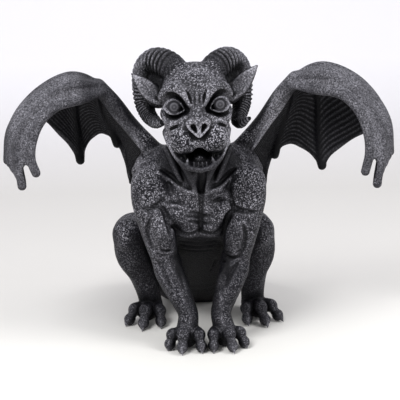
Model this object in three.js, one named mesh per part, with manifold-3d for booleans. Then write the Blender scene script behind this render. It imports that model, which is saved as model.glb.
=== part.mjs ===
// A winged gargoyle statuette, crouched on hands and feet like a sitting dog, cast in one piece in dark stone.
// Ram's horns, leaf-shaped ears, an open fanged mouth, and bat wings that cup forward like two hoods.
// Millimetres, +Z up, the face towards -Y, the floor at z = 0.
import * as THREE from "three";
import { mergeVertices } from "three/addons/utils/BufferGeometryUtils.js";
import Module from "manifold-3d";

const wasm = await Module();
wasm.setup();

// Driving dimensions
const height = 241; // from the floor to the top of the horns
const wingSkin = 3.2; // thickness of the wings' membrane
const boneGirth = 2.8; // how far a wing finger reaches to each side of the membrane's middle
const hornRidges = 20; // growth ridges on each horn
const ridgeDepth = 0.13; // how far a ridge stands proud, as a share of the horn's radius

const leastEdge = 1.15; // edges shorter than this are closed up

// The figure is drawn 241 units tall, and every station below is in those units: [x, y, z, radius].
const drawnHeight = 241;
const unit = height / drawnHeight;

// The body leans: what is near the floor lies a little towards +X of what is at the shoulders.
const lean = { reach: 4.5, below: 130 };

const at = ([x, y, z]) => new THREE.Vector3(x, y, z);
const mirrored = (stations) => stations.map(([x, ...rest]) => [-x, ...rest]);
const leaning = ([x, y, z, ...rest]) => {
  const share = Math.max(0, lean.below - z) / lean.below;
  return [x + lean.reach * share * share, y, z, ...rest];
};

// Turns a closed three.js geometry into a solid that can be joined and cut.
function solidOf(geometry, matrix = new THREE.Matrix4()) {
  const bare = new THREE.BufferGeometry();
  bare.setAttribute("position", geometry.getAttribute("position").clone());
  if (geometry.index) bare.setIndex(geometry.index.clone());
  bare.applyMatrix4(matrix);
  const merged = mergeVertices(bare, 1e-4); // corners at the same spot become one
  const triangles = [];
  const index = merged.index.array;
  const flip = matrix.determinant() < 0;
  for (let i = 0; i < index.length; i += 3) {
    const [a, b, c] = [index[i], index[i + 1], index[i + 2]];
    if (a === b || b === c || c === a) continue;
    triangles.push(a, flip ? c : b, flip ? b : c);
  }
  return new wasm.Manifold(
    new wasm.Mesh({
      numProp: 3,
      vertProperties: new Float32Array(merged.attributes.position.array),
      triVerts: new Uint32Array(triangles),
    }),
  );
}

const join = (solids) => solids.reduce((whole, next) => whole.add(next));

// Joins leave slivers where surfaces cross. Each edge shorter than least is drawn together to a point,
// wherever that keeps the skin closed and turns no face over.
function tidied(solid, least) {
  const { vertProperties, triVerts } = solid.getMesh();
  const spots = [];
  for (let i = 0; i < vertProperties.length; i += 3) spots.push(new THREE.Vector3().fromArray(vertProperties, i));
  const faces = [];
  for (let i = 0; i < triVerts.length; i += 3) faces.push([...triVerts.slice(i, i + 3)]);
  const around = spots.map(() => new Set());
  faces.forEach((face, k) => face.forEach((v) => around[v].add(k)));
  const neighbours = (v) => new Set([...around[v]].flatMap((k) => faces[k]).filter((w) => w !== v));
  const facing = (face, from, to) => {
    const [p, q, r] = face.map((v) => spots[v === from ? to : v]);
    return new THREE.Vector3().subVectors(q, p).cross(new THREE.Vector3().subVectors(r, p));
  };
  const canJoin = (from, to) => {
    const near = neighbours(to);
    if ([...neighbours(from)].filter((v) => near.has(v)).length !== 2) return false;
    return [...around[from]].every((k) => {
      if (faces[k].includes(to)) return true;
      const [before, after] = [facing(faces[k]), facing(faces[k], from, to)];
      if (after.length() < least * least * 0.05) return false;
      return before.length() < least * least * 0.05 || before.dot(after) > 0.7 * before.length() * after.length();
    });
  };
  for (let pass = 0; pass < 4; pass++) {
    for (const face of faces) {
      for (const [a, b] of [[0, 1], [1, 2], [2, 0]]) {
        const [from, to] = [face[a], face[b]];
        if (face.gone || spots[from].distanceTo(spots[to]) >= least || !canJoin(from, to)) continue;
        for (const k of around[from]) {
          if (faces[k].includes(to)) {
            faces[k].forEach((v) => around[v].delete(k));
            faces[k].gone = true;
          } else {
            faces[k][faces[k].indexOf(from)] = to;
            around[to].add(k);
          }
        }
        around[from].clear();
      }
    }
  }
  const kept = new THREE.BufferGeometry();
  const corners = faces.filter((face) => !face.gone).flatMap((face) => face.flatMap((v) => spots[v].toArray()));
  kept.setAttribute("position", new THREE.Float32BufferAttribute(corners, 3));
  return solidOf(kept);
}

// A value between the stations of a list, smoothed as the curve through them is.
function between(values, t) {
  const x = t * (values.length - 1);
  const i = Math.min(Math.floor(x), values.length - 2);
  const f = x - i;
  const [p, q, r, s] = [-1, 0, 1, 2].map((k) => values[Math.min(Math.max(i + k, 0), values.length - 1)]);
  return q + (f * (r - p)) / 2 + f * f * (p - 2.5 * q + 2 * r - s / 2) + f * f * f * ((s - p) / 2 + 1.5 * (q - r));
}

// A limb, muscle or finger: a sphere drawn out along the stations, round-ended.
// squash flattens it along the axes; ripple changes its radius along its length; a blunt start is a plain cone,
// for one that is buried in another limb.
function limb(stations, options = {}) {
  const { sides = 8, rings = stations.length, squash = [1, 1, 1], ripple = () => 1, blunt = stations.length > 1 } = options;
  const wide = new THREE.Vector3(...squash);
  const centres = stations.map((s) => at(s).divide(wide));
  const single = stations.length === 1;
  const path = single ? null : new THREE.CatmullRomCurve3(centres);
  const radii = stations.map((s) => s[3]);
  const rows = [];
  for (let k = 0; k < rings; k++) {
    const t = rings === 1 ? 0 : k / (rings - 1);
    rows.push({ t, reach: 0, girth: 1 });
  }
  const dome = [Math.PI / 2, Math.PI / 4.5];
  const start = (blunt ? dome.slice(0, 1) : dome).map((a) => ({ t: 0, reach: -Math.sin(a), girth: Math.cos(a) }));
  const end = dome.map((a) => ({ t: 1, reach: Math.sin(a), girth: Math.cos(a) })).reverse();
  const all = [...start, ...rows, ...end];
  const sphere = new THREE.SphereGeometry(1, sides, all.length - 1);
  const spots = sphere.getAttribute("position");
  let normal = new THREE.Vector3();
  all.forEach(({ t, reach, girth }, row) => {
    const centre = single ? centres[0].clone() : path.getPoint(t);
    const along = single ? new THREE.Vector3(0, 0, 1) : path.getTangent(t);
    if (row === 0) {
      const away = Math.abs(along.x) < 0.7 ? new THREE.Vector3(1, 0, 0) : new THREE.Vector3(0, 1, 0);
      normal = new THREE.Vector3().crossVectors(along, away).normalize();
    }
    normal.addScaledVector(along, -normal.dot(along)).normalize(); // carried along the path without twisting
    const across = new THREE.Vector3().crossVectors(normal, along);
    const radius = (single ? radii[0] : Math.max(between(radii, t), 0.05)) * ripple(t);
    centre.addScaledVector(along, reach * radius);
    const round = Math.abs(girth) < 1e-9 ? 0 : girth * radius;
    for (let side = 0; side <= sides; side++) {
      const angle = (2 * Math.PI * (side % sides)) / sides;
      const spot = centre
        .clone()
        .addScaledVector(normal, round * Math.cos(angle))
        .addScaledVector(across, round * Math.sin(angle))
        .multiply(wide);
      spots.setXYZ(row * (sides + 1) + side, spot.x, spot.y, spot.z);
    }
  });
  return solidOf(sphere);
}

// The same limb on both sides of the body, following the body's lean.
const bothLimbs = (stations, options) => [
  limb(stations.map(leaning), options),
  limb(mirrored(stations).map(leaning), options),
];

// A claw, fang or tooth: a curved spike.
const spike = (from, to, bow, radius, sides = 4) => {
  const middle = at(from).lerp(at(to), 0.5).add(at(bow));
  return limb([[...from, radius], [middle.x, middle.y, middle.z, radius * 0.72], [...to, radius * 0.12]], { sides, rings: 2 + (radius > 3) });
};

// Torso, drawn from the shoulders down the back to the rump
function torso() {
  const trunk = limb(
    [[0, 12, 130, 24], [0, 23, 110, 29], [0, 42, 84, 27], [0, 70, 58, 27], [0, 100, 38, 30], [0, 118, 25, 29]].map(leaning),
    { sides: 12, rings: 7, squash: [1.16, 1, 1] },
  );
  const pectorals = bothLimbs([[7.5, 5, 100, 11.5], [10, 3.5, 108, 12.5], [20, 4, 114, 13.5], [33, 6, 124, 12]], { sides: 7, rings: 4, blunt: false });
  const shoulderBlades = bothLimbs([[20, 32, 140, 13], [25, 44, 118, 13], [20, 52, 100, 11]], { sides: 6, rings: 3, blunt: false });
  const buttocks = bothLimbs([[17, 116, 26, 27.5]], { sides: 10, rings: 1 });
  const collarbones = bothLimbs([[3, -9, 132, 2.6], [17, -8, 136, 2.4], [32, 0, 145, 3.2]], { sides: 4, rings: 3 });
  const spine = [];
  const knobs = 8;
  const backLine = [[34, 148], [56, 130], [72, 104], [98, 80], [130, 56], [146, 34]]; // [y, z] from neck to rump
  for (let k = 0; k < knobs; k++) {
    const [y, z] = [0, 1].map((axis) => between(backLine.map((spot) => spot[axis]), k / (knobs - 1)));
    spine.push(limb([leaning([0, y - 3, z - 2, 4.6])], { sides: 5, rings: 1 }));
  }
  return [trunk, ...pectorals, ...shoulderBlades, ...buttocks, ...collarbones, ...spine];
}

function neck() {
  const column = limb([[0, 12, 138, 21], [-1, 4, 158, 18], [-2, -2, 178, 18]], { sides: 9, rings: 3 });
  const yokes = bothLimbs([[9, 8, 160, 12], [20, 12, 149, 13], [35, 12, 138, 12]], { sides: 6, rings: 3 });
  const cords = bothLimbs([[3, -10, 134, 2.8], [11, -13, 150, 3.6], [20, -8, 168, 4.5]], { sides: 5, rings: 3 });
  const wingRoots = bothLimbs([[24, 22, 148, 12], [36, 22, 146, 11], [44, 26, 138, 8]], { sides: 6, rings: 3 });
  return [column, ...yokes, ...cords, ...wingRoots];
}

function arms() {
  return [
    bothLimbs([[37, 6, 131, 15.5], [36, 4, 110, 14], [32, 5, 88, 12], [27, 9, 68, 11]], { sides: 9, rings: 4 }),
    bothLimbs([[38.5, 4, 134, 13.2], [40, 3, 120, 12.3], [37, 4, 103, 9]], { sides: 7, rings: 3 }), // shoulder cap
    bothLimbs([[31, -4, 112, 6], [29, -4, 98, 9], [26, 0, 82, 8]], { sides: 6, rings: 3 }), // biceps
    bothLimbs([[27, 9, 69, 10.5], [23, 5, 54, 11], [17.5, 1, 40, 9], [13, -2, 28, 8], [14.5, -3, 16, 8.5]], { sides: 8, rings: 6 }),
    bothLimbs([[15, -1, 8.2, 8.5]], { sides: 7, rings: 1 }), // palm
    bothLimbs([[33, 6, 76, 5], [29.5, 2, 62, 7.5], [22, -2, 46, 6], [16, -5, 34, 4]], { sides: 6, rings: 4 }), // outer forearm
  ].flat();
}

// A hand or a foot: a fan of fingers, each bent over a knuckle and ending in a claw on the floor.
// Each finger is [heel of the finger, knuckle, last joint, claw point].
function digits(fingers, girth) {
  const made = [];
  for (const side of [1, -1]) {
    for (const points of fingers) {
      const [root, knuckle, joint, point] = points.map(([x, y, z]) => leaning([side * x, y, z]));
      const middle = knuckle.map((value, k) => (value + joint[k]) / 2);
      made.push(limb([[...root, girth * 1.05], [...knuckle, girth], [...middle, girth * 0.8], [...joint, girth * 0.95]], { sides: 5, rings: 4 }));
      made.push(spike([joint[0], joint[1], joint[2] + 1], [point[0], point[1], point[2]], [0, -0.5, 1.8], girth * 0.72));
    }
  }
  return made;
}

const fingerGirth = 5;
const toeGirth = 5.2;
const handFingers = [
  [[7, -5, 13], [6, -10.5, 13], [4.9, -14.5, 4.6], [4.5, -19.5, 0.3]],
  [[16, -6, 14], [18, -12, 14], [19.8, -16, 4.7], [20.5, -22, 0.3]],
  [[22, -3, 12], [26.5, -6, 12], [29.4, -8, 4.6], [31.4, -11, 0.3]],
];

const footToes = [
  [[38, 57, 13], [36.5, 50, 12.5], [36, 45, 4.7], [36.3, 38.5, 0.3]],
  [[45, 56, 14], [48, 47, 14], [50.5, 41, 4.8], [52, 34, 0.3]],
  [[50, 60, 13], [57, 55, 12.5], [62, 51.5, 4.7], [66, 47, 0.3]],
];

// The knees sway a little towards -X of the feet.
const kneeSway = { reach: -4, height: 84, over: 45 };
const swaying = ([x, y, z, ...rest]) => {
  return leaning([x + kneeSway.reach * Math.exp(-(((z - kneeSway.height) / kneeSway.over) ** 2)), y, z, ...rest]);
};

function hindLegs() {
  const legs = [
    { stations: [[26, 110, 38, 27], [40, 86, 59, 24], [48, 62, 76, 18.6], [53, 46, 81.5, 12.8]], sides: 10, rings: 5 }, // thigh
    { stations: [[53, 43, 82, 12.8], [52.5, 48, 63, 13.2], [47, 57, 44, 11], [44, 62, 26, 9.8], [43, 65, 14, 9.5]], sides: 8, rings: 5 },
    { stations: [[50, 61, 66, 6], [46, 66, 46, 7], [43, 70, 24, 4.5]], sides: 6, rings: 3 }, // calf
    { stations: [[47, 56, 10, 8], [44, 66, 10, 9.5], [42, 77, 8.2, 8.5]], sides: 7, rings: 3 }, // instep and heel
  ];
  return legs.flatMap(({ stations, sides, rings }) => [
    limb(stations.map(swaying), { sides, rings }),
    limb(mirrored(stations).map(swaying), { sides, rings }),
  ]);
}

// Every part of the head is drawn about its own middle, then the head is set on the neck, tipped a little.
const headAt = [-1.7, -18, 195];
const headYaw = 0.02;
const headRoll = 0.03;
const headSeat = new THREE.Matrix4()
  .makeTranslation(...headAt)
  .multiply(new THREE.Matrix4().makeRotationZ(headYaw))
  .multiply(new THREE.Matrix4().makeRotationY(-headRoll));
const bothOf = (stations, options) => [limb(stations, options), limb(mirrored(stations), options)];
const seated = (solid) => solid.transform(headSeat.elements);

function skull() {
  return [
    limb([[0, 4, 12.5, 23]], { sides: 12, rings: 1, squash: [1.13, 1.15, 1] }),
    limb([[0, -12, 20, 10.5], [0, -17.5, 12, 7.5]], { sides: 8, rings: 2 }), // forehead
    limb([[0, -8, -6, 18]], { sides: 8, rings: 1 }), // upper jaw
    ...bothOf([[21.5, -3, -1, 6], [18, -13, -5.5, 6.5], [10, -19, -7, 6]], { sides: 6, rings: 3 }), // cheekbone
    ...bothOf([[17.5, -4, -13, 8]], { sides: 6, rings: 1 }),
    ...bothOf([[24, 14, 20, 10.5], [27, 20, 8, 9.5]], { sides: 6, rings: 2 }), // what the horn curls around
  ];
}

function lowerJaw() {
  const rim = [[21, 4, -17, 5.4], [18.6, -10, -24.5, 4.4], [13.6, -22, -33, 3.6], [8, -27, -37, 3.4], [0, -28.6, -38.2, 3.3]];
  return [
    ...bothOf(rim, { sides: 6, rings: 5 }),
    limb([[0, 4, -26, 14], [0, -12, -35, 9], [0, -21, -37.5, 6]], { sides: 7, rings: 3, squash: [1.25, 1, 1] }),
  ];
}

function mouth() {
  return [
    limb([[0, -10, -27, 6.5], [0, -22, -30, 7.5], [0, -34, -31.5, 7]], { sides: 8, rings: 3, squash: [1.35, 1, 0.9] }),
    ...bothOf([[4, -30, -32, 5], [11, -25.5, -28.5, 4.6], [17.5, -20, -24, 3.4], [22, -14, -20.5, 2.2], [25, -9, -18, 1]], { sides: 5, rings: 5 }),
  ];
}

// The muzzle hangs over the mouth: two lobes, the nose on its bridge, and the tongue below.
function muzzle() {
  return [
    ...bothOf([[9.5, -10, -13, 11.7], [10.6, -17.5, -14, 10.8], [10.8, -20, -18.6, 10.5]], { sides: 9, rings: 3 }),
    limb([[0, -14, -12, 11], [0, -21.5, -17.5, 6.8]], { sides: 7, rings: 2 }),
    limb([[0, -20, 13, 5], [0, -23.6, 6, 4.4], [0, -26.6, 0, 5], [0, -27.8, -4, 5]], { sides: 6, rings: 4 }),
    ...bothOf([[3, -29, -2.6, 3.2], [6.6, -27.4, -4.2, 2.9], [4.6, -29, -9.6, 1.9]], { sides: 5, rings: 3 }), // nostril wings
    limb([[0, -30.2, -3.4, 2.3], [0, -30.8, -13.6, 1.9]], { sides: 5, rings: 2 }),
    limb([[0, -2, -33, 6], [0, -16, -35, 5.8]], { sides: 6, rings: 2 }),
  ];
}

function nostrils() {
  return bothOf([[3.5, -28.5, -5.8, 1.8], [4.2, -34, -9, 2]], { sides: 5, rings: 2 });
}

function eyeSockets() {
  return [
    ...bothOf([[16.6, -19, 6.4, 7.6], [16.6, -26, 6.2, 8.4]], { sides: 8, rings: 2, blunt: false }),
    ...bothOf([[9, -20, 4.4, 3.4], [9.4, -26, 4, 3.6]], { sides: 5, rings: 2 }),
  ];
}

const brows = () => {
  const arch = [[25.2, -2, 11.5, 3.3], [20.8, -10.5, 18.4, 4.2], [14.4, -16.6, 20.2, 4.7], [8.4, -20.8, 15.8, 4], [4.6, -23.8, 9, 2.8]];
  return bothOf(arch, { sides: 6, rings: 5 });
};

// A round eyeball between an upper and a lower lid
function eyes() {
  const upper = [[24.6, -13, 5.4, 1.2], [21.8, -18.4, 11, 1.7], [16.8, -20.6, 13, 1.9], [11.2, -20.4, 9.2, 1.6], [8, -18.6, 3, 1.1]];
  const lower = [[24.6, -13, 5.4, 1.2], [21.6, -19, 2, 1.5], [16.6, -20.8, 0.7, 1.6], [11.4, -20, 1.6, 1.4], [8, -18.6, 3, 1.1]];
  return [
    ...bothOf([[16.9, -14.8, 7, 7.2]], { sides: 8, rings: 1 }),
    ...bothOf(upper, { sides: 4, rings: 5 }),
    ...bothOf(lower, { sides: 4, rings: 5 }),
  ];
}

function teeth() {
  const made = [];
  for (const side of [1, -1]) {
    made.push(spike([side * 9.2, -26, -37], [side * 8.8, -27.4, -29.8], [side * 0.4, -0.4, 0], 1.8)); // fangs
    made.push(spike([side * 4.2, -28, -36.5], [side * 4.2, -28.6, -32], [0, 0, 0], 1.5));
    made.push(spike([side * 13.4, -22.4, -33], [side * 13.6, -23, -29.2], [0, 0, 0], 1.3));
  }
  return made;
}

// A leaf-shaped ear, hollowed in front, drawn lying along +X, stretched and then raised.
const earRise = 0.72;
const earTurn = 0.12;
const earStretch = { right: 1.14, left: 1.04 };
function ears() {
  return [[1, earStretch.right], [-1, earStretch.left]].map(([side, stretch]) => {
    const leaf = limb([[-4, 0, 0, 5.5], [6, 0.5, -1, 7.2], [15, 0, 0, 5.2], [26.5, -1.5, 1, 0.9]], { sides: 8, rings: 5, squash: [1, 0.42, 1] });
    const hollow = limb([[1, -4, -0.5, 4.2], [8, -4.2, -0.6, 5.6], [15, -4, 0.3, 4], [22, -3.2, 1, 1.3]], { sides: 6, rings: 4, squash: [1, 0.7, 1] });
    const set = new THREE.Matrix4()
      .makeScale(side, 1, 1)
      .multiply(new THREE.Matrix4().makeTranslation(27.5, 2, 11.5))
      .multiply(new THREE.Matrix4().makeRotationY(-earRise))
      .multiply(new THREE.Matrix4().makeRotationZ(earTurn))
      .multiply(new THREE.Matrix4().makeScale(stretch, 1, 1));
    return leaf.subtract(hollow).transform(set.elements);
  });
}

// A ram's horn: out of the crown, over and back, down behind the ear and forward again.
// The one at +X lies a little lower and its point flares out; the other's is tucked against the cheek.
const hornDrop = 2.2;
function horns() {
  const path = [[11, 3, 27.5, 9.8], [19, 8, 33.8, 11.3], [28, 17, 35, 11.3], [35.4, 26, 28, 10.3], [38.4, 31, 15, 9], [38.2, 30, 2, 8], [35.5, 23, -6, 6.8]];
  const flared = [[33, 14, -10.5, 5.8], [35, 6, -10.8, 4.4], [40.6, 0, -6.5, 2]];
  const tucked = [[32, 14, -9.2, 5.8], [29, 7, -9.8, 4.4], [25.6, 0, -8.5, 2.8]];
  const dropped = [...path, ...flared].map(([x, y, z, r]) => [x - 0.7, y, z - hornDrop, r]);
  const options = {
    sides: 7,
    rings: 2 * hornRidges + 1,
    ripple: (t) => 1 - ridgeDepth * (0.5 + 0.5 * Math.cos(Math.PI * 2 * hornRidges * t)) * Math.min(1, 8 * t),
  };
  return [limb(dropped, options), limb(mirrored([...path, ...tucked]), options)];
}

// Wings. The skin hangs on radial curves that all leave the wrist region; they are the fingers, from the front lip
// round the outside to the back and in to the body. Drawn for the +X wing.
const wingArm = [[22, 26, 140, 9], [36, 24, 157, 7.5], [52, 20, 177, 6.5], [66, 15, 197, 6.5], [76, 12, 208, 6]];
const wingFingers = [
  { curve: [[74, 6, 205], [90, -9, 202.5], [108, -21, 200.5], [120, -28, 191], [126.5, -32, 176], [127.5, -33, 162], [124, -33, 149]], scallop: 0.14 },
  { curve: [[76, 9, 210], [96, -8, 212], [120, -18, 200], [138, -26, 176], [134, -32, 137]], scallop: 0.06 },
  { curve: [[77, 13, 211], [98, 8, 217], [124, 3, 208], [144, -5, 184], [149, -10, 157]], scallop: 0.28, pull: 0.6 },
  { curve: [[75, 18, 209], [90, 30, 207], [98, 38, 190], [98, 39, 164], [97, 32, 141]], scallop: 0.24, inner: true },
  { curve: [[70, 20, 202], [73, 30, 195], [71, 37, 182], [67, 39, 167], [63.5, 37, 152.5]], scallop: 0.05 },
  { curve: [[32, 26, 155], [40, 32, 149], [47, 37, 141], [52, 39, 132], [54, 39, 121]], scallop: 0 },
];
// The two wings differ a little. Each is bent near a spot [x, z], over a distance, by a move [x, z].
// notch deepens or fills the one wide notch in the trailing edge, between the outer wall and the middle finger;
// arch does so to the one between the middle finger and the next towards the body.
const wingPose = {
  right: {
    side: 1,
    size: 0.99,
    notch: 0.65,
    arch: 0.6,
    bends: [
      { spot: [100, 215], over: 40, move: [0, 5.5] },
      { spot: [97, 141], over: 25, move: [4, -5] },
      { spot: [64, 152], over: 16, move: [-1, -5.5] },
      { spot: [54, 125], over: 18, move: [0, -4] },
    ],
  },
  left: {
    side: -1,
    size: 0.975,
    notch: 1.3,
    arch: 1,
    bends: [
      { spot: [88, 222], over: 24, move: [0, 4] },
      { spot: [97, 141], over: 25, move: [-3, 4] },
      { spot: [131, 138], over: 20, move: [2, 4.5] },
      { spot: [64, 152], over: 16, move: [1, 5.5] },
      { spot: [54, 125], over: 18, move: [0, 5] },
    ],
  },
};
const shoulderJoint = [22, 26, 142];

const ridgeShare = 0.16; // how far a finger's ridge spreads, as a share of the gap to the next finger

function bent([x, y, z], { size, bends }) {
  const moved = [x, y, z];
  for (const { spot, over, move } of bends) {
    const share = Math.exp(-((x - spot[0]) ** 2 + (z - spot[1]) ** 2) / over ** 2);
    moved[0] += share * move[0];
    moved[2] += share * move[1];
  }
  return moved.map((value, k) => shoulderJoint[k] + size * (value - shoulderJoint[k]));
}

function wingSurface(u, v, pose) {
  const spans = wingFingers.length - 1;
  const place = Math.min(u * spans, spans - 1e-9);
  const i = Math.floor(place);
  const f = place - i;
  const { scallop, pull = 1, inner = false } = wingFingers[i];
  const edge = 1 - scallop * (pull < 1 ? pose.notch : inner ? pose.arch : 1) * Math.pow(4 * f ** pull * (1 - f ** pull), 0.6);
  const across = wingFingers.map(({ curve }) => {
    return new THREE.CatmullRomCurve3(curve.map((p) => at(bent(p, pose)))).getPoint(v * edge);
  });
  return new THREE.Vector3(
    between(across.map((p) => p.x), u),
    between(across.map((p) => p.y), u),
    between(across.map((p) => p.z), u),
  );
}

function wingNormal(u, v, pose) {
  const step = 0.01;
  const [u0, u1, v0, v1] = [Math.max(u - step, 0), Math.min(u + step, 1), Math.max(v - step, 0), Math.min(v + step, 1)];
  const alongU = wingSurface(u1, v, pose).sub(wingSurface(u0, v, pose));
  const alongV = wingSurface(u, v1, pose).sub(wingSurface(u, v0, pose));
  return alongU.cross(alongV).normalize();
}

// The skin's columns of points crowd in on each finger, which stands out from it as a ridge.
function wing(pose) {
  const spans = wingFingers.length - 1;
  const columns = [];
  for (let i = 0; i < spans; i++) for (const f of [0, ridgeShare, 0.5, 1 - ridgeShare]) columns.push([(i + f) / spans, f === 0 ? 1 : 0]);
  columns.push([1, 0]);
  const rows = 6;
  const slab = new THREE.BoxGeometry(1, 1, 1, columns.length - 1, rows, 1);
  const spots = slab.getAttribute("position");
  for (let k = 0; k < spots.count; k++) {
    const [u, onFinger] = columns[Math.round((spots.getX(k) + 0.5) * (columns.length - 1))];
    const v = spots.getY(k) + 0.5;
    const half = wingSkin / 2 + onFinger * (boneGirth - wingSkin / 2) * (1 - 0.35 * v) * 1.4;
    const spot = wingSurface(u, v, pose).addScaledVector(wingNormal(u, v, pose), (Math.sign(spots.getZ(k)) * half) / unit);
    spots.setXYZ(k, spot.x, spot.y, spot.z);
  }
  const arm = limb(wingArm.map(([x, y, z, r]) => [...bent([x, y, z], pose), r]), { sides: 8, rings: 6 });
  return join([solidOf(slab), arm]).transform(new THREE.Matrix4().makeScale(pose.side, 1, 1).elements);
}

const wings = () => [wing(wingPose.right), wing(wingPose.left)];

function gargoyle() {
  const openHead = join([...skull(), ...lowerJaw()]).subtract(join(mouth()));
  const face = join([openHead, ...muzzle()]).subtract(join([...nostrils(), ...eyeSockets()]));
  const head = join([face, ...brows(), ...eyes(), ...teeth(), ...ears(), ...horns()]);
  const figure = join([
    ...torso(),
    ...neck(),
    ...arms(),
    ...digits(handFingers, fingerGirth),
    ...hindLegs(),
    ...digits(footToes, toeGirth),
    ...wings(),
    seated(head),
  ]);
  const floor = new THREE.BoxGeometry(4 * drawnHeight, 4 * drawnHeight, drawnHeight);
  const under = solidOf(floor, new THREE.Matrix4().makeTranslation(0, 0, -drawnHeight / 2));
  const shells = figure.subtract(under).decompose();
  // What is left of hollows closed in between limbs is a shell of its own: only the figure's outside is kept.
  const outside = shells.reduce((most, shell) => (shell.volume() > most.volume() ? shell : most));
  return tidied(outside, leastEdge / unit);
}

function geometryOf(solid) {
  const { vertProperties, triVerts } = solid.getMesh();
  const indexed = new THREE.BufferGeometry();
  indexed.setAttribute("position", new THREE.BufferAttribute(vertProperties, 3));
  indexed.setIndex(new THREE.BufferAttribute(triVerts, 1));
  const flat = indexed.toNonIndexed();
  flat.computeBoundingBox();
  const middle = flat.boundingBox.getCenter(new THREE.Vector3());
  flat.translate(-middle.x, -middle.y, 0); // the part's origin is on the floor, under the middle of the statue
  flat.scale(unit, unit, unit);
  flat.computeVertexNormals();
  return flat;
}

const darkStone = new THREE.MeshStandardMaterial({ color: 0x2c2b31, roughness: 0.55, metalness: 0 });
const statue = new THREE.Mesh(geometryOf(gargoyle()), darkStone);
statue.name = "gargoyle";

const part = new THREE.Group();
part.add(statue);
export default part;
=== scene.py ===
import math

import bpy
import numpy as np
from mathutils import Matrix, Vector, kdtree


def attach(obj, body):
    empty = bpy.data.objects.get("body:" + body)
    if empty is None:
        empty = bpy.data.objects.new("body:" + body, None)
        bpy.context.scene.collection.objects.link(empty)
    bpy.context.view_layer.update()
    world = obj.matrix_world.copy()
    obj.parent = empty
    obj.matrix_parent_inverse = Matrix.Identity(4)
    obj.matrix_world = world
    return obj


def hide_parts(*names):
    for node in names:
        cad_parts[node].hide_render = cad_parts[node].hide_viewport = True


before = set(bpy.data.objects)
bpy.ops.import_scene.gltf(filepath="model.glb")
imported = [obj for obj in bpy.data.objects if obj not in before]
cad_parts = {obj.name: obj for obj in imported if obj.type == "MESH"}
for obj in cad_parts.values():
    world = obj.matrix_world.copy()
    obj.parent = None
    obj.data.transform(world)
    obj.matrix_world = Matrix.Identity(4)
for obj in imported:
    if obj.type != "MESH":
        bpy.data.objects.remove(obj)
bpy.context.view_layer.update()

# The statue is modelled as clay: a block of numbers, each the distance to the surface, that strokes are
# added to and cut from. Strokes are for a figure 241 units tall that faces -Y, as [x, y, z, radius].
figure = {
    "height": 0.241,  # metres, floor to horn tops
    "drawnHeight": 241.0,
    "drawnMiddle": (0.777, 48.459),  # the drawn spot that stands over the part's origin
    "pitch": 0.85,  # of the clay
    "triangles": 192000,
    "lean": 4.5,  # how far the hands and feet stand towards +X of the shoulders
    "leanBelow": 130.0,
    "kneeSway": -4.0,
    "headAt": (-1.7, -18.0, 195.0),
    "headYaw": 0.02,
    "headRoll": 0.03,
}


# A centripetal Catmull-Rom curve; points may have any number of columns past x, y, z
def curveThrough(points, t):
    points = np.asarray(points, float)
    last = len(points) - 1
    place = np.clip(np.asarray(t, float) * last, 0, last - 1e-9)
    i = place.astype(int)
    f = (place - i)[..., None]
    padded = np.vstack([2 * points[0] - points[1], points, 2 * points[-1] - points[-2]])
    p0, p1, p2, p3 = (padded[i + k] for k in range(4))

    def gap(a, b):
        return np.maximum(np.sum((a[..., :3] - b[..., :3]) ** 2, axis=-1, keepdims=True) ** 0.25, 1e-4)

    d0, d1, d2 = gap(p0, p1), gap(p1, p2), gap(p2, p3)
    t1 = ((p1 - p0) / d0 - (p2 - p0) / (d0 + d1) + (p2 - p1) / d1) * d1
    t2 = ((p2 - p1) / d1 - (p3 - p1) / (d1 + d2) + (p3 - p2) / d2) * d1
    return p1 + t1 * f + (3 * (p2 - p1) - 2 * t1 - t2) * f ** 2 + (2 * (p1 - p2) + t1 + t2) * f ** 3


# A smooth way from q to r, at share f, where p comes before them and s after
def eased(p, q, r, s, f):
    bend = p - 2.5 * q + 2 * r - s / 2
    return q + f * (r - p) / 2 + f ** 2 * bend + f ** 3 * ((s - p) / 2 + 1.5 * (q - r))


def between(values, t):  # a value between the entries of a list, smoothed
    values = np.asarray(values, float)
    last = len(values) - 1
    place = np.clip(np.asarray(t, float) * last, 0, last - 1e-9)
    i = place.astype(int)
    p, q, r, s = (values[np.clip(i + k, 0, last)] for k in (-1, 0, 1, 2))
    return eased(p, q, r, s, place - i)


def smooth(low, high, value):
    share = np.clip((value - low) / (high - low), 0, 1)
    return share * share * (3 - 2 * share)


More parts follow.
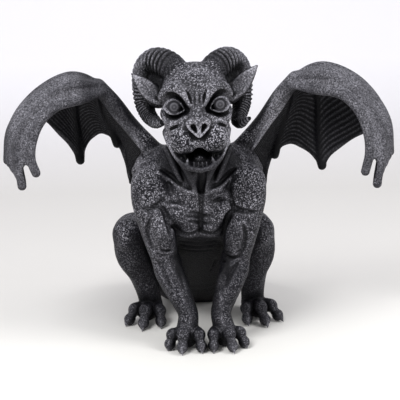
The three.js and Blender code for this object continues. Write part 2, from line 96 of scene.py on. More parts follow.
class Clay:
    far = 14.0

    def __init__(self, low, high, pitch):
        self.low = np.array(low, float)
        self.pitch = pitch
        self.count = (np.ceil((np.array(high) - self.low) / pitch).astype(int) + 1)
        self.depth = np.full(self.count, self.far, np.float32)

    def window(self, low, high):
        a = np.clip(np.floor((np.array(low) - self.low) / self.pitch).astype(int), 0, self.count - 1)
        b = np.clip(np.ceil((np.array(high) - self.low) / self.pitch).astype(int) + 1, a + 1, self.count)
        cut = tuple(slice(int(p), int(q)) for p, q in zip(a, b))
        axes = [(self.low[k] + self.pitch * np.arange(a[k], b[k])).astype(np.float32) for k in range(3)]
        return cut, axes

    def blendIn(self, cut, field, blend, hollow=False):
        here = self.depth[cut]
        if hollow:
            here = -here
        share = np.clip(0.5 + 0.5 * (field - here) / blend, 0, 1)
        mixed = field + (here - field) * share - blend * share * (1 - share)
        self.depth[cut] = -mixed if hollow else mixed

    # One limb, muscle, vein or furrow, on both sides of the body unless sides says otherwise
    def stroke(self, stations, place, blend=3.0, sides=(1, -1), squash=(1, 1, 1), hollow=False,
               ripple=None, margin=5.0):
        wide = np.array(squash, float)
        for side in sides:
            spots = np.array([place((side * x, y, z, r)) for x, y, z, r in stations], float)
            centres = spots[:, :3] / wide
            radii = spots[:, 3]
            if len(spots) > 1:
                length = np.sum(np.linalg.norm(np.diff(centres, axis=0), axis=1))
                step = 0.9 if ripple else max(1.2, 0.3 * radii.max())
                steps = max(2, int(length / step))
                t = np.linspace(0, 1, steps + 1)
                centres = curveThrough(centres, t)
                radii = np.maximum(between(radii, t), 0.05)
            reach = (radii.max() + margin + blend) * wide.max()
            low = (centres * wide).min(0) - reach
            high = (centres * wide).max(0) + reach
            cut, axes = self.window(low, high)
            field = np.full([len(a) for a in axes], self.far, np.float32)
            along = np.zeros_like(field) if ripple else None
            origin = [float(a[0]) for a in axes]
            pairs = [(0, 0)] if len(centres) == 1 else zip(range(len(centres) - 1), range(1, len(centres)))
            for a, b in pairs:
                near = (max(radii[a], radii[b]) + margin + blend) * wide.max()
                ends = np.array([centres[a], centres[b]]) * wide
                inner = []
                for k in range(3):
                    start = max(0, int((ends[:, k].min() - near - origin[k]) / self.pitch))
                    stop = min(len(axes[k]), int((ends[:, k].max() + near - origin[k]) / self.pitch) + 2)
                    inner.append(slice(start, max(stop, start)))
                x = (axes[0][inner[0]] / wide[0])[:, None, None]
                y = (axes[1][inner[1]] / wide[1])[None, :, None]
                z = (axes[2][inner[2]] / wide[2])[None, None, :]
                p = centres[a].astype(np.float32)
                d = (centres[b] - centres[a]).astype(np.float32)
                square = float(d @ d)
                if square > 1e-9:
                    share = (x - p[0]) * d[0] + (y - p[1]) * d[1] + (z - p[2]) * d[2]
                    share = np.clip(share / square, 0, 1)
                    away = np.sqrt((x - p[0] - share * d[0]) ** 2 + (y - p[1] - share * d[1]) ** 2
                                   + (z - p[2] - share * d[2]) ** 2)
                    value = away - (radii[a] + share * (radii[b] - radii[a]))
                else:
                    value = np.sqrt((x - p[0]) ** 2 + (y - p[1]) ** 2 + (z - p[2]) ** 2) - radii[a]
                value = value * wide.min()
                inner = tuple(inner)
                if ripple:
                    nearer = value < field[inner]
                    along[inner] = np.where(nearer, (a + share) / (len(centres) - 1), along[inner])
                field[inner] = np.minimum(field[inner], value)
            if ripple:
                field = field - ripple(along, between(spots[:, 3], along))
            self.blendIn(cut, field, blend, hollow)

    # A thin sheet, laid as overlapping dabs: spots is a list of points, half is half its thickness at each
    def sheet(self, spots, half, blend=2.0):
        reach = 3.0
        cut, axes = self.window(spots.min(0) - half.max() - reach, spots.max(0) + half.max() + reach)
        field = np.full([len(a) for a in axes], self.far, np.float32)
        origin = np.array([a[0] for a in axes])
        cells = np.round((spots - origin) / self.pitch).astype(int)
        off = (spots - origin - cells * self.pitch).astype(np.float32)
        rings = np.ceil((half + reach) / self.pitch).astype(int)
        flat = field.reshape(-1)
        sizes = np.array(field.shape)
        for ring in np.unique(rings):
            group = rings == ring
            c, o, h = cells[group], off[group], half[group].astype(np.float32)
            for i in range(-ring, ring + 1):
                for j in range(-ring, ring + 1):
                    for k in range(-ring, ring + 1):
                        if i * i + j * j + k * k > (ring + 0.5) ** 2:
                            continue
                        move = np.array((i, j, k)) * self.pitch
                        value = np.sqrt(((move - o) ** 2).sum(1)) - h
                        cell = c + (i, j, k)
                        ok = np.all((cell >= 0) & (cell < sizes), axis=1)
                        index = (cell[ok, 0] * sizes[1] + cell[ok, 1]) * sizes[2] + cell[ok, 2]
                        np.minimum.at(flat, index, value[ok])
        self.blendIn(cut, field, blend)

    def sample(self, points):
        place = np.clip((points - self.low) / self.pitch, 0, self.count - 1.001)
        i = place.astype(int)
        f = (place - i).astype(np.float32)
        total = 0
        for corner in range(8):
            pick = [(corner >> k) & 1 for k in range(3)]
            weight = np.prod([f[:, k] if pick[k] else 1 - f[:, k] for k in range(3)], axis=0)
            total = total + weight * self.depth[i[:, 0] + pick[0], i[:, 1] + pick[1], i[:, 2] + pick[2]]
        return total

    # How far back the surface lies, seen from the front at x, z
    def front(self, x, z, start=-60.0):
        line = np.arange(start, 60.0, 0.4)
        spots = np.stack([np.full_like(line, x), line, np.full_like(line, z)], axis=1)
        solid = np.flatnonzero(self.sample(spots) < 0)
        return float(line[solid[0]]) if len(solid) else 60.0

    # A groove or a vein that follows the front of the body through [x, z, radius]; sink is how deep its
    # middle lies, in radii. Each line is as seen from the front, so nothing is mirrored.
    def trace(self, line, sink, blend=1.0, hollow=False, start=-60.0):
        stations = []
        for x, z, r in line:
            stations.append([x, self.front(x, z, start) + sink * r, z, r])
        self.stroke(stations, lambda station: station, blend, sides=(1,), hollow=hollow)

    # The surface as four-sided faces, one corner in each cell that the surface passes through
    def surface(self):
        inside = self.depth < 0
        few = inside[:-1, :-1, :-1].astype(np.int8)
        for corner in range(1, 8):
            a, b, c = corner & 1, (corner >> 1) & 1, corner >> 2
            few += inside[a:a + inside.shape[0] - 1, b:b + inside.shape[1] - 1, c:c + inside.shape[2] - 1]
        cells = np.argwhere((few > 0) & (few < 8))
        number = np.full(few.shape, -1, np.int32)
        number[tuple(cells.T)] = np.arange(len(cells))
        corners = np.array([[(k & 1), (k >> 1) & 1, k >> 2] for k in range(8)])
        values = np.stack([self.depth[tuple((cells + c).T)] for c in corners], axis=1)
        total = np.zeros((len(cells), 3))
        hits = np.zeros(len(cells))
        for a in range(8):
            for axis in range(3):
                b = a | (1 << axis)
                if b == a:
                    continue
                va, vb = values[:, a], values[:, b]
                crossing = (va < 0) != (vb < 0)
                share = np.where(crossing, va / np.where(crossing, va - vb, 1), 0)
                spot = corners[a] + share[:, None] * (corners[b] - corners[a])
                total += np.where(crossing[:, None], spot, 0)
                hits += crossing
        points = self.low + (cells + total / hits[:, None]) * self.pitch
        faces = []
        for axis in range(3):
            u, v = (axis + 1) % 3, (axis + 2) % 3
            shift = [slice(0, -1) if k == axis else slice(None) for k in range(3)]
            ahead = [slice(1, None) if k == axis else slice(None) for k in range(3)]
            here, there = inside[tuple(shift)], inside[tuple(ahead)]
            edges = np.argwhere(here != there)
            edges = edges[(edges[:, u] > 0) & (edges[:, v] > 0)]
            ends = [edges.copy() for _ in range(4)]
            ends[1][:, u] -= 1
            ends[2][:, u] -= 1
            ends[2][:, v] -= 1
            ends[3][:, v] -= 1
            ring = np.stack([number[tuple(np.minimum(e, np.array(few.shape) - 1).T)] for e in ends], axis=1)
            leaving = here[tuple(edges.T)]
            ring[~leaving] = ring[~leaving][:, ::-1]
            faces.append(ring[(ring >= 0).all(axis=1)])
        return points, np.vstack(faces)


# Where a stroke's stations stand
def leaning(station):
    x, y, z, r = station
    share = max(0.0, figure["leanBelow"] - z) / figure["leanBelow"]
    return x + figure["lean"] * share * share, y, z, r


def swaying(station):
    x, y, z, r = station
    return leaning((x + figure["kneeSway"] * math.exp(-((z - 84) / 45) ** 2), y, z, r))


def onHead(station):
    x, y, z, r = station
    c, s = math.cos(figure["headRoll"]), math.sin(figure["headRoll"])
    x, z = c * x - s * z, s * x + c * z
    c, s = math.cos(figure["headYaw"]), math.sin(figure["headYaw"])
    x, y = c * x - s * y, s * x + c * y
    return tuple(a + b for a, b in zip(figure["headAt"], (x, y, z))) + (r,)


clay = Clay((-158, -62, -8), (160, 158, 250), figure["pitch"])

# Torso, back and rump. Each entry is a stroke and how softly it blends in.
torso = {
    "trunk": ([[0, 12, 130, 24], [0, 23, 110, 29], [0, 42, 84, 27], [0, 70, 58, 27], [0, 100, 38, 30],
               [0, 118, 25, 29]], 3),
    "pectoral": ([[7.5, 5, 100, 11.5], [10, 3.5, 108, 12.5], [20, 4, 114, 13.5], [33, 6, 124, 12]], 2),
    "ribCage": ([[19, 10, 98, 12], [20, 26, 92, 14], [18, 42, 80, 14]], 5),
    "shoulderBlade": ([[20, 32, 140, 13], [25, 44, 118, 13], [20, 52, 100, 11]], 4),
    "buttock": ([[17, 116, 26, 27.5]], 5),
    "loin": ([[13, 72, 74, 13], [15, 92, 56, 14]], 5),
}
for name, (stations, blend) in torso.items():
    if name == "trunk":
        clay.stroke(stations, leaning, blend, sides=(1,), squash=(1.16, 1, 1))
    else:
        clay.stroke(stations, leaning, blend)
spine = {"knobs": 13, "radius": 4.4, "y": [34, 56, 72, 98, 130, 146], "z": [148, 130, 104, 80, 56, 34]}
for k in range(spine["knobs"]):
    t = k / (spine["knobs"] - 1)
    y = float(between(spine["y"], t))
    z = float(between(spine["z"], t))
    clay.stroke([[0, y - 2.6, z - 1.6, spine["radius"]]], leaning, 2.5, sides=(1,))
print("torso")

# Neck
neck = {
    "column": ([[0, 12, 138, 21], [-1, 4, 158, 18], [-2, -2, 178, 18]], 4, (1,)),
    "yoke": ([[9, 8, 160, 12], [20, 12, 149, 13], [35, 12, 138, 12]], 4, (1, -1)),
    "cord": ([[3.2, -11.5, 131, 1.8], [6.5, -13, 141, 2.6], [11, -14, 152, 3.4], [20, -8, 168, 4.5]],
             1.2, (1, -1)),
    "outerCord": ([[12, -8, 134, 1.6], [17, -8, 146, 2.6], [23, -3, 162, 3.4]], 1.2, (1, -1)),
    "windpipe": ([[0, -8, 138, 4.5], [0, -12, 152, 5]], 3, (1,)),
    "wingRoot": ([[24, 22, 148, 12], [36, 22, 146, 11], [44, 26, 138, 8]], 5, (1, -1)),
}
for stations, blend, sides in neck.values():
    clay.stroke(stations, leaning, blend, sides=sides)

# Arms
arms = {
    "upper": ([[37, 6, 131, 15.5], [36, 4, 110, 14], [32, 5, 88, 12], [27, 9, 68, 11]], 4),
    "shoulderCap": ([[38.5, 4, 134, 13.0], [40, 3, 120, 12.0], [37, 4, 103, 9]], 2.5),
    "biceps": ([[31, -3.5, 114, 6], [29, -4, 99, 9], [25.5, 0, 82, 7.5]], 1.6),
    "triceps": ([[40, 9, 108, 7], [37, 10, 90, 8.2], [31.5, 13, 72, 7.4]], 1.6),
    "foreArm": ([[27, 9, 69, 10.5], [23, 5, 54, 11], [17.5, 1, 40, 9], [13, -2, 28, 8],
                 [14.5, -3, 16, 8.5]], 3),
    "outerForearm": ([[34, 7, 78, 4.5], [30, 2, 62, 7.2], [22, -2, 46, 6], [16, -5, 33, 3.6]], 1.6),
    "innerForearm": ([[21, 3, 68, 4.5], [17, 0, 54, 6], [12, -2, 38, 4.5]], 1.8),
    "elbow": ([[28, 17, 70, 6.5]], 2.5),
    "palm": ([[15, -1, 8.2, 8.5], [15, -5, 14, 7.5]], 3),
}
for stations, blend in arms.values():
    clay.stroke(stations, leaning, blend)

# Hind legs
hindLegs = {
    "thigh": ([[26, 110, 38, 27], [40, 86, 59, 24], [48, 62, 76, 18.6], [53, 46, 81.5, 12.6]], 5),
    "shin": ([[53, 43, 82, 12.6], [52.5, 48, 63, 13.0], [47, 57, 44, 11], [44, 62, 26, 9.8],
              [43, 65, 14, 9.5]], 3),
    "kneecap": ([[54, 34, 84.5, 6.0], [55, 34.5, 77, 6.2]], 2.2),
    "calf": ([[50, 61, 66, 6], [46, 66, 46, 7], [43, 70, 24, 4.5]], 2),
    "shinMuscle": ([[59, 42, 76, 5], [57.5, 44, 60, 6], [51, 51, 42, 4.5], [47, 55, 28, 3]], 1.8),
    "heel": ([[47, 56, 10, 8], [44, 66, 10, 9.5], [42, 77, 8.2, 8.5]], 3),
    "thighMuscle": ([[56, 60, 80, 8], [56, 80, 62, 11], [46, 104, 40, 12]], 3),
}
for stations, blend in hindLegs.values():
    clay.stroke(stations, swaying, blend)
print("limbs")

# Hands and feet: a fan of fingers, each bent over its knuckle and ending in a claw on the floor. Each one is
# written as its root, knuckle, last joint and the tip of its claw.
handFingers = [
    [[7, -5, 13], [6, -10.5, 13], [4.9, -14.5, 4.6], [4.5, -19.5, 0.3]],
    [[16, -6, 14], [18, -12, 14], [19.8, -16, 4.7], [20.5, -22, 0.3]],
    [[22, -3, 12], [26.5, -6, 12], [29.4, -8, 4.6], [31.4, -11, 0.3]],
]
footToes = [
    [[38, 57, 13], [36.5, 50, 12.5], [36, 45, 4.7], [36.3, 38.5, 0.3]],
    [[45, 56, 14], [48, 47, 14], [50.5, 41, 4.8], [52, 34, 0.3]],
    [[50, 60, 13], [57, 55, 12.5], [62, 51.5, 4.7], [66, 47, 0.3]],
]
fingerGirth = 5.0
toeGirth = 5.2
for fingers, girth in ((handFingers, fingerGirth), (footToes, toeGirth)):
    for root, knuckle, joint, claw in fingers:
        middle = [(a + b) / 2 for a, b in zip(knuckle, joint)]
        finger = [[*root, girth], [*knuckle, girth * 0.95], [*middle, girth * 0.72], [*joint, girth * 0.86]]
        clay.stroke(finger, leaning, 1.0)
        clay.stroke([[*knuckle, girth * 1.08]], leaning, 0.8)
        clay.stroke([[joint[0], joint[1], joint[2] + 0.6, girth * 0.92]], leaning, 0.6)
for fingers, girth in ((handFingers, fingerGirth), (footToes, toeGirth)):
    for root, knuckle, joint, claw in fingers:
        base = [joint[0], joint[1], joint[2] + 1]
        middle = [(a + b) / 2 + c for a, b, c in zip(base, claw, (0, -0.5, 1.8))]
        clay.stroke([[*base, girth * 0.72], [*middle, girth * 0.5], [*claw, girth * 0.09]], leaning, 0.7)
print("hands and feet")

# Carving on the front of the body, as [x, z, radius] along each line: dark folds, then collarbones and veins
folds = {
    "breastbone": [[1.5, 133, 2.6], [1.4, 127, 1.9], [1.3, 117, 1.5], [1.0, 108, 1.4], [0.8, 99, 1.5]],
    "throat": [[1.3, 131, 2.4], [1.9, 140, 3.4], [1.9, 148, 3.0]],
    "underChestLeft": [[-22.5, 103, 1.0], [-18.7, 98.5, 1.6], [-13, 94.5, 1.9], [-6, 94.5, 1.7],
                       [0.5, 97, 1.4]],
    "underChestRight": [[1, 97, 1.4], [7, 94.5, 1.7], [14, 94.8, 1.9], [19, 99.5, 1.4]],
    "foldLeft1": [[-7, 113.3, 0.6], [-3, 112, 1.2], [0.5, 111, 0.7]],
    "foldLeft2": [[-9, 110, 0.6], [-4, 109.2, 1.2], [0.5, 108, 0.7]],
    "foldLeft3": [[-8.5, 105.8, 0.6], [-4.4, 105, 1.2], [0, 103.8, 0.7]],
    "foldRight1": [[2, 109.8, 0.7], [5.7, 110, 1.1], [10.5, 109.2, 0.5]],
    "foldRight2": [[2, 104, 0.7], [7, 102.8, 1.1], [12.6, 103, 0.5]],
    "aboveCollarLeft": [[-28, 145.5, 0.8], [-21, 140.5, 1.5], [-13, 135.2, 1.6], [-7, 133.2, 1.0]],
    "aboveCollarRight": [[9, 133.2, 1.0], [16, 135.7, 1.6], [23, 140, 1.5], [28, 145, 0.8]],
    "armpitLeft": [[-32, 119, 1.2], [-28, 116, 2.2], [-25, 108, 2.4], [-23, 97, 1.8]],
    "armpitRight": [[26, 114, 1.4], [22.5, 110, 2.3], [20, 101, 2.3], [18.8, 93, 1.6]],
    "capLeft": [[-44.4, 117, 0.9], [-38.8, 116.2, 1.7], [-33.8, 119, 1.9], [-26.6, 123.7, 1.2]],
    "capRight": [[23.7, 129.6, 1.0], [24.3, 123, 1.6], [27.1, 116, 1.9], [35.6, 113, 1.7], [44, 112, 0.9]],
    "besideBicepsLeft": [[-38.3, 108, 1.0], [-41, 99, 1.9], [-39.9, 90, 1.9], [-36.8, 82.7, 1.0]],
    "besideBicepsRight": [[33.5, 103, 1.0], [35.3, 94, 1.9], [34.3, 83.7, 1.9], [31.2, 76.2, 1.0]],
    "elbowLeft1": [[-34.7, 83.8, 0.6], [-29, 82.1, 1.3], [-22.5, 83, 0.7]],
    "elbowLeft2": [[-34, 79.6, 0.5], [-29, 77.8, 1.0], [-24, 78.6, 0.6]],
    "elbowRight1": [[19, 75, 0.7], [26, 73.8, 1.3], [33, 76, 0.6]],
    "elbowRight2": [[19.6, 79.4, 0.6], [25.6, 78.4, 1.0], [31.6, 80.6, 0.5]],
    "forearmLeft": [[-32.8, 72, 0.8], [-28, 62.8, 1.8], [-23.3, 52, 0.9]],
    "forearmRight": [[29.2, 68.7, 0.8], [23.3, 60.5, 1.8], [20, 51.5, 0.9]],
    "innerForearmLeft": [[-21.4, 70, 0.7], [-17.6, 62, 1.5], [-13.4, 50, 0.8]],
    "innerForearmRight": [[19.6, 70, 0.7], [13.8, 62, 1.4], [10.6, 50, 0.8]],
    "chestFanLeft": [[-26, 121, 0.6], [-19, 121.6, 1.2], [-12, 120, 0.5]],
    "chestFanLeft2": [[-24, 116.4, 0.5], [-18, 116.6, 1.0], [-12.6, 115, 0.4]],
    "chestFanRight": [[9, 121, 0.5], [16, 122.4, 1.1], [22, 121.4, 0.5]],
    "belly1": [[-15.8, 90, 0.5], [-3, 88.6, 1.2], [13, 89, 0.5]],
    "belly2": [[-15.8, 85.5, 0.5], [-3, 84.0, 1.1], [13, 85, 0.5]],
    "belly3": [[-14.5, 81, 0.5], [-3, 79.6, 1.0], [11.5, 80.4, 0.5]],
    "belly4": [[-13, 76, 0.4], [-3, 75, 0.8], [10, 75.6, 0.4]],
}
for line in folds.values():
    clay.trace(line, sink=-0.15, blend=1.4, hollow=True)
ridges = {
    "collarLeft": [[-31, 143.6, 1.8], [-24.9, 139, 2.0], [-19.3, 135.6, 2.0], [-11, 131.2, 1.9],
                   [-4.3, 129.4, 1.7]],
    "collarRight": [[6.6, 129.5, 1.7], [13, 130.8, 1.9], [18.7, 133.5, 2.0], [24.4, 137.7, 2.0],
                    [30, 143, 1.8]],
    "forearmLeft": [[-27, 71.8, 1.0], [-22.2, 65.7, 1.8], [-18.4, 59, 1.8], [-16, 54, 1.0]],
    "forearmRight": [[26.7, 69.5, 1.0], [19.4, 63.7, 1.8], [15, 57, 1.8], [13.5, 49.5, 1.0]],
    "wristLeft": [[-15.6, 48, 0.8], [-12.4, 38, 1.4], [-8.6, 28, 1.4], [-10, 20, 0.8]],
    "wristRight": [[15.4, 46, 0.8], [15.6, 36, 1.4], [15.4, 27, 1.4], [18, 20, 0.8]],
    "bicepsVeinLeft": [[-33, 106, 0.6], [-31, 97, 1.2], [-33.5, 88, 1.0], [-30, 80, 0.6]],
    "bicepsVeinRight": [[27, 100, 0.6], [25, 91, 1.2], [27.5, 82, 1.0], [25, 76, 0.6]],
}
for line in ridges.values():
    clay.trace(line, sink=0.35, blend=0.8)
print("carving")

# Head: skull, brows, cheeks and jaw, then the mouth is cut and the muzzle hangs over it
skull = [
    ([[0, 4, 12.5, 23]], 3, (1,), (1.13, 1.15, 1)),
    ([[0, -12, 20, 10.5], [0, -17.5, 12, 7.5]], 5, (1,), (1, 1, 1)),
    ([[0, -8, -6, 18]], 4, (1,), (1, 1, 1)),
    ([[21.5, -3, -1, 5.6], [18, -13, -5.5, 6], [10, -19, -7, 6]], 4, (1, -1), (1, 1, 1)),
    ([[17.5, -4, -13, 7.2]], 4, (1, -1), (1, 1, 1)),
    ([[0, 4, -26, 14], [0, -12, -35, 9], [0, -21, -37.5, 5.5]], 3, (1,), (1.25, 1, 1)),
    ([[21, 4, -17, 5], [18.6, -10, -24.5, 4], [13.6, -22, -33, 3.2], [8, -27, -37, 3.1],
      [0, -28.6, -38.2, 3]], 2, (1, -1), (1, 1, 1)),
]
for stations, blend, sides, squash in skull:
    clay.stroke(stations, onHead, blend, sides=sides, squash=squash)
mouth = [
    ([[0, -10, -27, 6.5], [0, -22, -30, 7.5], [0, -34, -31.5, 7]], 1.0, (1,), (1.35, 1, 0.9)),
    ([[4, -30, -32, 5], [11, -25.5, -28.5, 4.6], [17.5, -20, -24, 3.4], [22, -14, -20.5, 2.2],
      [25, -9, -18, 1]], 0.8, (1, -1), (1, 1, 1)),
]
for stations, blend, sides, squash in mouth:
    clay.stroke(stations, onHead, blend, sides=sides, squash=squash, hollow=True)
muzzle = [
    ([[9.5, -10, -13, 11.5], [10.6, -17.5, -14, 10.6], [10.8, -20, -18.6, 10.2]], 1.8, (1, -1)),
    ([[0, -14, -12, 11], [0, -21.5, -17.5, 6.4]], 3, (1,)),
    ([[0, -20, 13, 4.6], [0, -23.6, 6, 4], [0, -26.6, 0, 4.6], [0, -27.8, -4, 4.6]], 2.5, (1,)),
    ([[3, -29, -2.6, 3], [6.6, -27.4, -4.2, 2.6], [6.8, -27.8, -7.2, 1.7], [4, -29.4, -10.6, 1.4],
      [1.5, -30.4, -13, 1.2]], 1.6, (1, -1)),
    ([[0, -30.4, -3.4, 2], [0, -31.2, -9, 1.6], [0, -31, -13.6, 1.5]], 1.2, (1,)),
    ([[0, -2, -33, 6], [0, -16, -35, 5.6]], 1.5, (1,)),
]
for stations, blend, sides in muzzle:
    clay.stroke(stations, onHead, blend, sides=sides)
nostril = [[3.4, -29.5, -5.6, 1.6], [4.1, -32.5, -8, 1.9], [3.2, -34, -10.2, 1.1]]
clay.stroke(nostril, onHead, 0.5, hollow=True)
lipCleft = [[0, -29, -16, 1.0], [0, -28, -22, 1.8], [0, -25, -27, 2.4]]
clay.stroke(lipCleft, onHead, 1.2, sides=(1,), hollow=True)

# Eyes: a deep socket under a rolled brow, the ball with its iris, and thin lids
socket = [[16.6, -19, 6.4, 7.6], [16.6, -26, 6.2, 8.4]]
clay.stroke(socket, onHead, 2.4, hollow=True)
besideNose = [[9, -20, 4.4, 3.4], [9.4, -26, 4, 3.6]]
clay.stroke(besideNose, onHead, 1.5, hollow=True)
brow = [[25.2, -2, 11.5, 3], [20.8, -10.5, 18.4, 3.8], [14.4, -16.6, 20.2, 4.2], [8.4, -20.8, 15.8, 3.6],
        [4.6, -23.8, 9, 2.4]]
clay.stroke(brow, onHead, 1.8)
ball = (16.9, -15.4, 7, 6.0)
clay.stroke([ball], onHead, 0.3)
irises = [onHead((side * ball[0], ball[1] - ball[3], ball[2], 0))[:3] for side in (1, -1)]
lids = [
    [[24.2, -13, 5.6, 0.9], [21.4, -18.2, 10.4, 1.2], [16.8, -20.2, 12.2, 1.3], [11.8, -20, 9.4, 1.2],
     [9, -18.4, 4, 0.9]],
    [[24.2, -13, 5.6, 0.9], [21.2, -18.6, 2.8, 1.1], [16.8, -20.2, 1.8, 1.1], [12, -19.6, 2.6, 1.0],
     [9, -18.4, 4, 0.9]],
    [[24, -13.4, -2.6, 1.5], [17.4, -19.2, -4.4, 1.6], [11, -20.6, -1.6, 1.2]],
]
for stations in lids:
    clay.stroke(stations, onHead, 0.7)
# Frown lines between the brows, folds beside the nose and under the eyes
furrows = [
    ([[2.1, -24.4, 17, 0.5], [1.9, -25.4, 12.6, 0.9], [2.2, -26.2, 8, 0.5]], 0.8),
    ([[7.4, -22, 19, 0.4], [5.4, -24, 14, 0.9], [4.2, -25.6, 9.4, 0.5]], 0.8),
    ([[7.4, -26.2, -1, 0.6], [11.4, -25.8, -4.6, 1.1], [17.5, -21, -8.4, 1.0],
      [22.4, -13.4, -12.6, 0.5]], 1.2),
    ([[10, -23.6, -1.6, 0.4], [16.6, -21.6, -2.7, 0.6], [22.6, -15.2, 0.4, 0.4]], 0.8),
    ([[20.5, -14, 16, 0.4], [14, -19.4, 16.6, 0.7], [8.6, -22, 12, 0.5]], 0.8),
]
for stations, blend in furrows:
    clay.stroke(stations, onHead, blend, hollow=True)

# Teeth of the lower jaw: the fang first
teeth = [
    [[9.2, -26, -37, 1.7], [9.4, -27, -33, 1.3], [8.8, -27.4, -29.8, 0.3]],
    [[1.5, -27.2, -38, 1.2], [1.5, -27.6, -34.2, 0.7]],
    [[4.6, -27, -38, 1.2], [4.6, -27.4, -33.8, 0.7]],
    [[13.4, -22.4, -33, 1.2], [13.6, -23, -29.2, 0.5]],
    [[16.6, -18.6, -29, 1.0], [16.8, -19, -25.8, 0.4]],
]
for stations in teeth:
    clay.stroke(stations, onHead, 0.4)
print("head")

# Horns: out of the crown, over and back, down behind the ears and forward again, ringed all the way
horn = {
    "rings": 38,
    "lower": 2.2,  # how much lower the horn at +X lies
    "groove": 0.2,  # depth of the grooves between rings, as a share of the radius
    "path": [[11, 3, 27.5, 9.5], [19, 8, 33.8, 11], [28, 17, 35, 11], [35.4, 26, 28, 10], [38.4, 31, 15, 8.8],
             [38.2, 30, 2, 7.8], [35.5, 23, -6, 6.6]],
    "flared": [[33, 14, -10.5, 5.6], [35, 6, -10.8, 4.2], [40.6, 0, -6.5, 1.8]],
    "tucked": [[32, 14, -9.2, 5.6], [29, 7, -9.8, 4.2], [25.6, 0, -8.5, 2.6]],
}


def lowered(station):
    x, y, z, r = station
    return onHead((x - 0.7, y, z - horn["lower"], r))


def hornRings(t, radius):
    wave = 0.5 + 0.5 * np.cos(math.tau * horn["rings"] * t)
    return -horn["groove"] * radius * wave * smooth(0.06, 0.16, t)


clay.stroke(horn["path"] + horn["flared"], lowered, 1.2, sides=(1,), ripple=hornRings)
clay.stroke(horn["path"] + horn["tucked"], onHead, 1.2, sides=(-1,), ripple=hornRings)
clay.stroke([[24, 14, 20, 10], [27, 20, 8, 9]], onHead, 3)
print("horns")

# Wings: a skin stretched over fingers that leave the wrist, all but the last, which leaves the arm
wing = {
    "skin": 3.2,  # thickness
    "bone": 2.8,  # radius of the fingers in the skin
    "ridgeShare": 0.16,  # how much of a span a finger takes up
    "joint": (22, 26, 142),
    "arm": [[22, 26, 140, 9], [36, 24, 157, 7.5], [52, 20, 177, 6.5], [66, 15, 197, 6.5], [76, 12, 208, 6]],
    "fingers": [
        {"curve": [[74, 6, 205], [90, -9, 202.5], [108, -21, 200.5], [120, -28, 191], [126.5, -32, 176],
                   [127.5, -33, 162], [124, -33, 149]], "scallop": 0.14},
        {"curve": [[76, 9, 210], [96, -8, 212], [120, -18, 200], [138, -26, 176], [134, -32, 137]],
         "scallop": 0.06},
        {"curve": [[77, 13, 211], [98, 8, 217], [124, 3, 208], [144, -5, 184], [149, -10, 157]],
         "scallop": 0.28},
        {"curve": [[75, 18, 209], [90, 30, 207], [98, 38, 190], [98, 39, 164], [97, 32, 141]],
         "scallop": 0.24},
        {"curve": [[70, 20, 202], [73, 30, 195], [71, 37, 182], [67, 39, 167], [63.5, 37, 152.5]],
         "scallop": 0.05},
        {"curve": [[32, 26, 155], [40, 32, 149], [47, 37, 141], [52, 39, 132], [54, 39, 121]],
         "scallop": 0},
    ],
    "pull": {2: 0.6},  # span 2 has its scallop drawn towards the front
    "right": {"side": 1, "size": 0.99, "scallops": {2: 0.65, 3: 0.6},
              "bends": [((100, 215), 40, (0, 5.5)), ((97, 141), 25, (4, -5)), ((64, 152), 16, (-1, -5.5)),
                        ((54, 125), 18, (0, -4))]},
    "left": {"side": -1, "size": 0.975, "scallops": {2: 1.3},
             "bends": [((88, 222), 24, (0, 4)), ((97, 141), 25, (-3, 4)), ((131, 138), 20, (2, 4.5)),
                       ((64, 152), 16, (1, 5.5)), ((54, 125), 18, (0, 5))]},
    "dab": 0.62,  # spacing of the dabs that lay the skin
    "wrinkles": 24,  # along each finger
    "wrinkle": 0.62,
    "rib": 1.0,
    "foldBesideArm": [[75, 11, 204, 1.2], [66.5, 13, 189, 1.6], [54.5, 14.5, 174, 1.6], [45, 16, 160, 1.4],
                      [39, 17, 151, 0.8]],
}


def bent(points, pose):
    points = np.array(points, float)
    moved = points.copy()
    for spot, over, move in pose["bends"]:
        share = np.exp(-((points[:, 0] - spot[0]) ** 2 + (points[:, 2] - spot[1]) ** 2) / over ** 2)
        moved[:, 0] += share * move[0]
        moved[:, 2] += share * move[1]
    joint = np.array(wing["joint"], float)
    return joint + pose["size"] * (moved - joint)


# The skin of one wing: a grid of spots and, for each, its span between two fingers, how far it is across the
# span and along the fingers, and the width of the span there
def wingSkin(pose):
    fingers = wing["fingers"]
    spans = len(fingers) - 1
    across, along = int(330 / wing["dab"]), int(105 / wing["dab"])
    u, v = np.meshgrid(np.linspace(0, 1, across), np.linspace(0, 1, along), indexing="ij")
    place = np.minimum(u * spans, spans - 1e-9)
    span = place.astype(int)
    f = place - span
    scallops = [finger["scallop"] * pose["scallops"].get(k, 1) for k, finger in enumerate(fingers)]
    pulled = f ** np.array([wing["pull"].get(k, 1) for k in range(spans)])[span]
    edge = 1 - np.array(scallops)[span] * (4 * pulled * (1 - pulled)) ** 0.6
    stack = np.stack([curveThrough(bent(finger["curve"], pose), v * edge) for finger in fingers])
    rows, columns = np.indices(u.shape)
    p, q, r, s = (stack[np.clip(span + k, 0, spans), rows, columns] for k in (-1, 0, 1, 2))
    spots = eased(p, q, r, s, f[..., None])
    spots[..., 0] *= pose["side"]
    gap = np.linalg.norm(r - q, axis=-1)
    return spots, span, f, v, gap


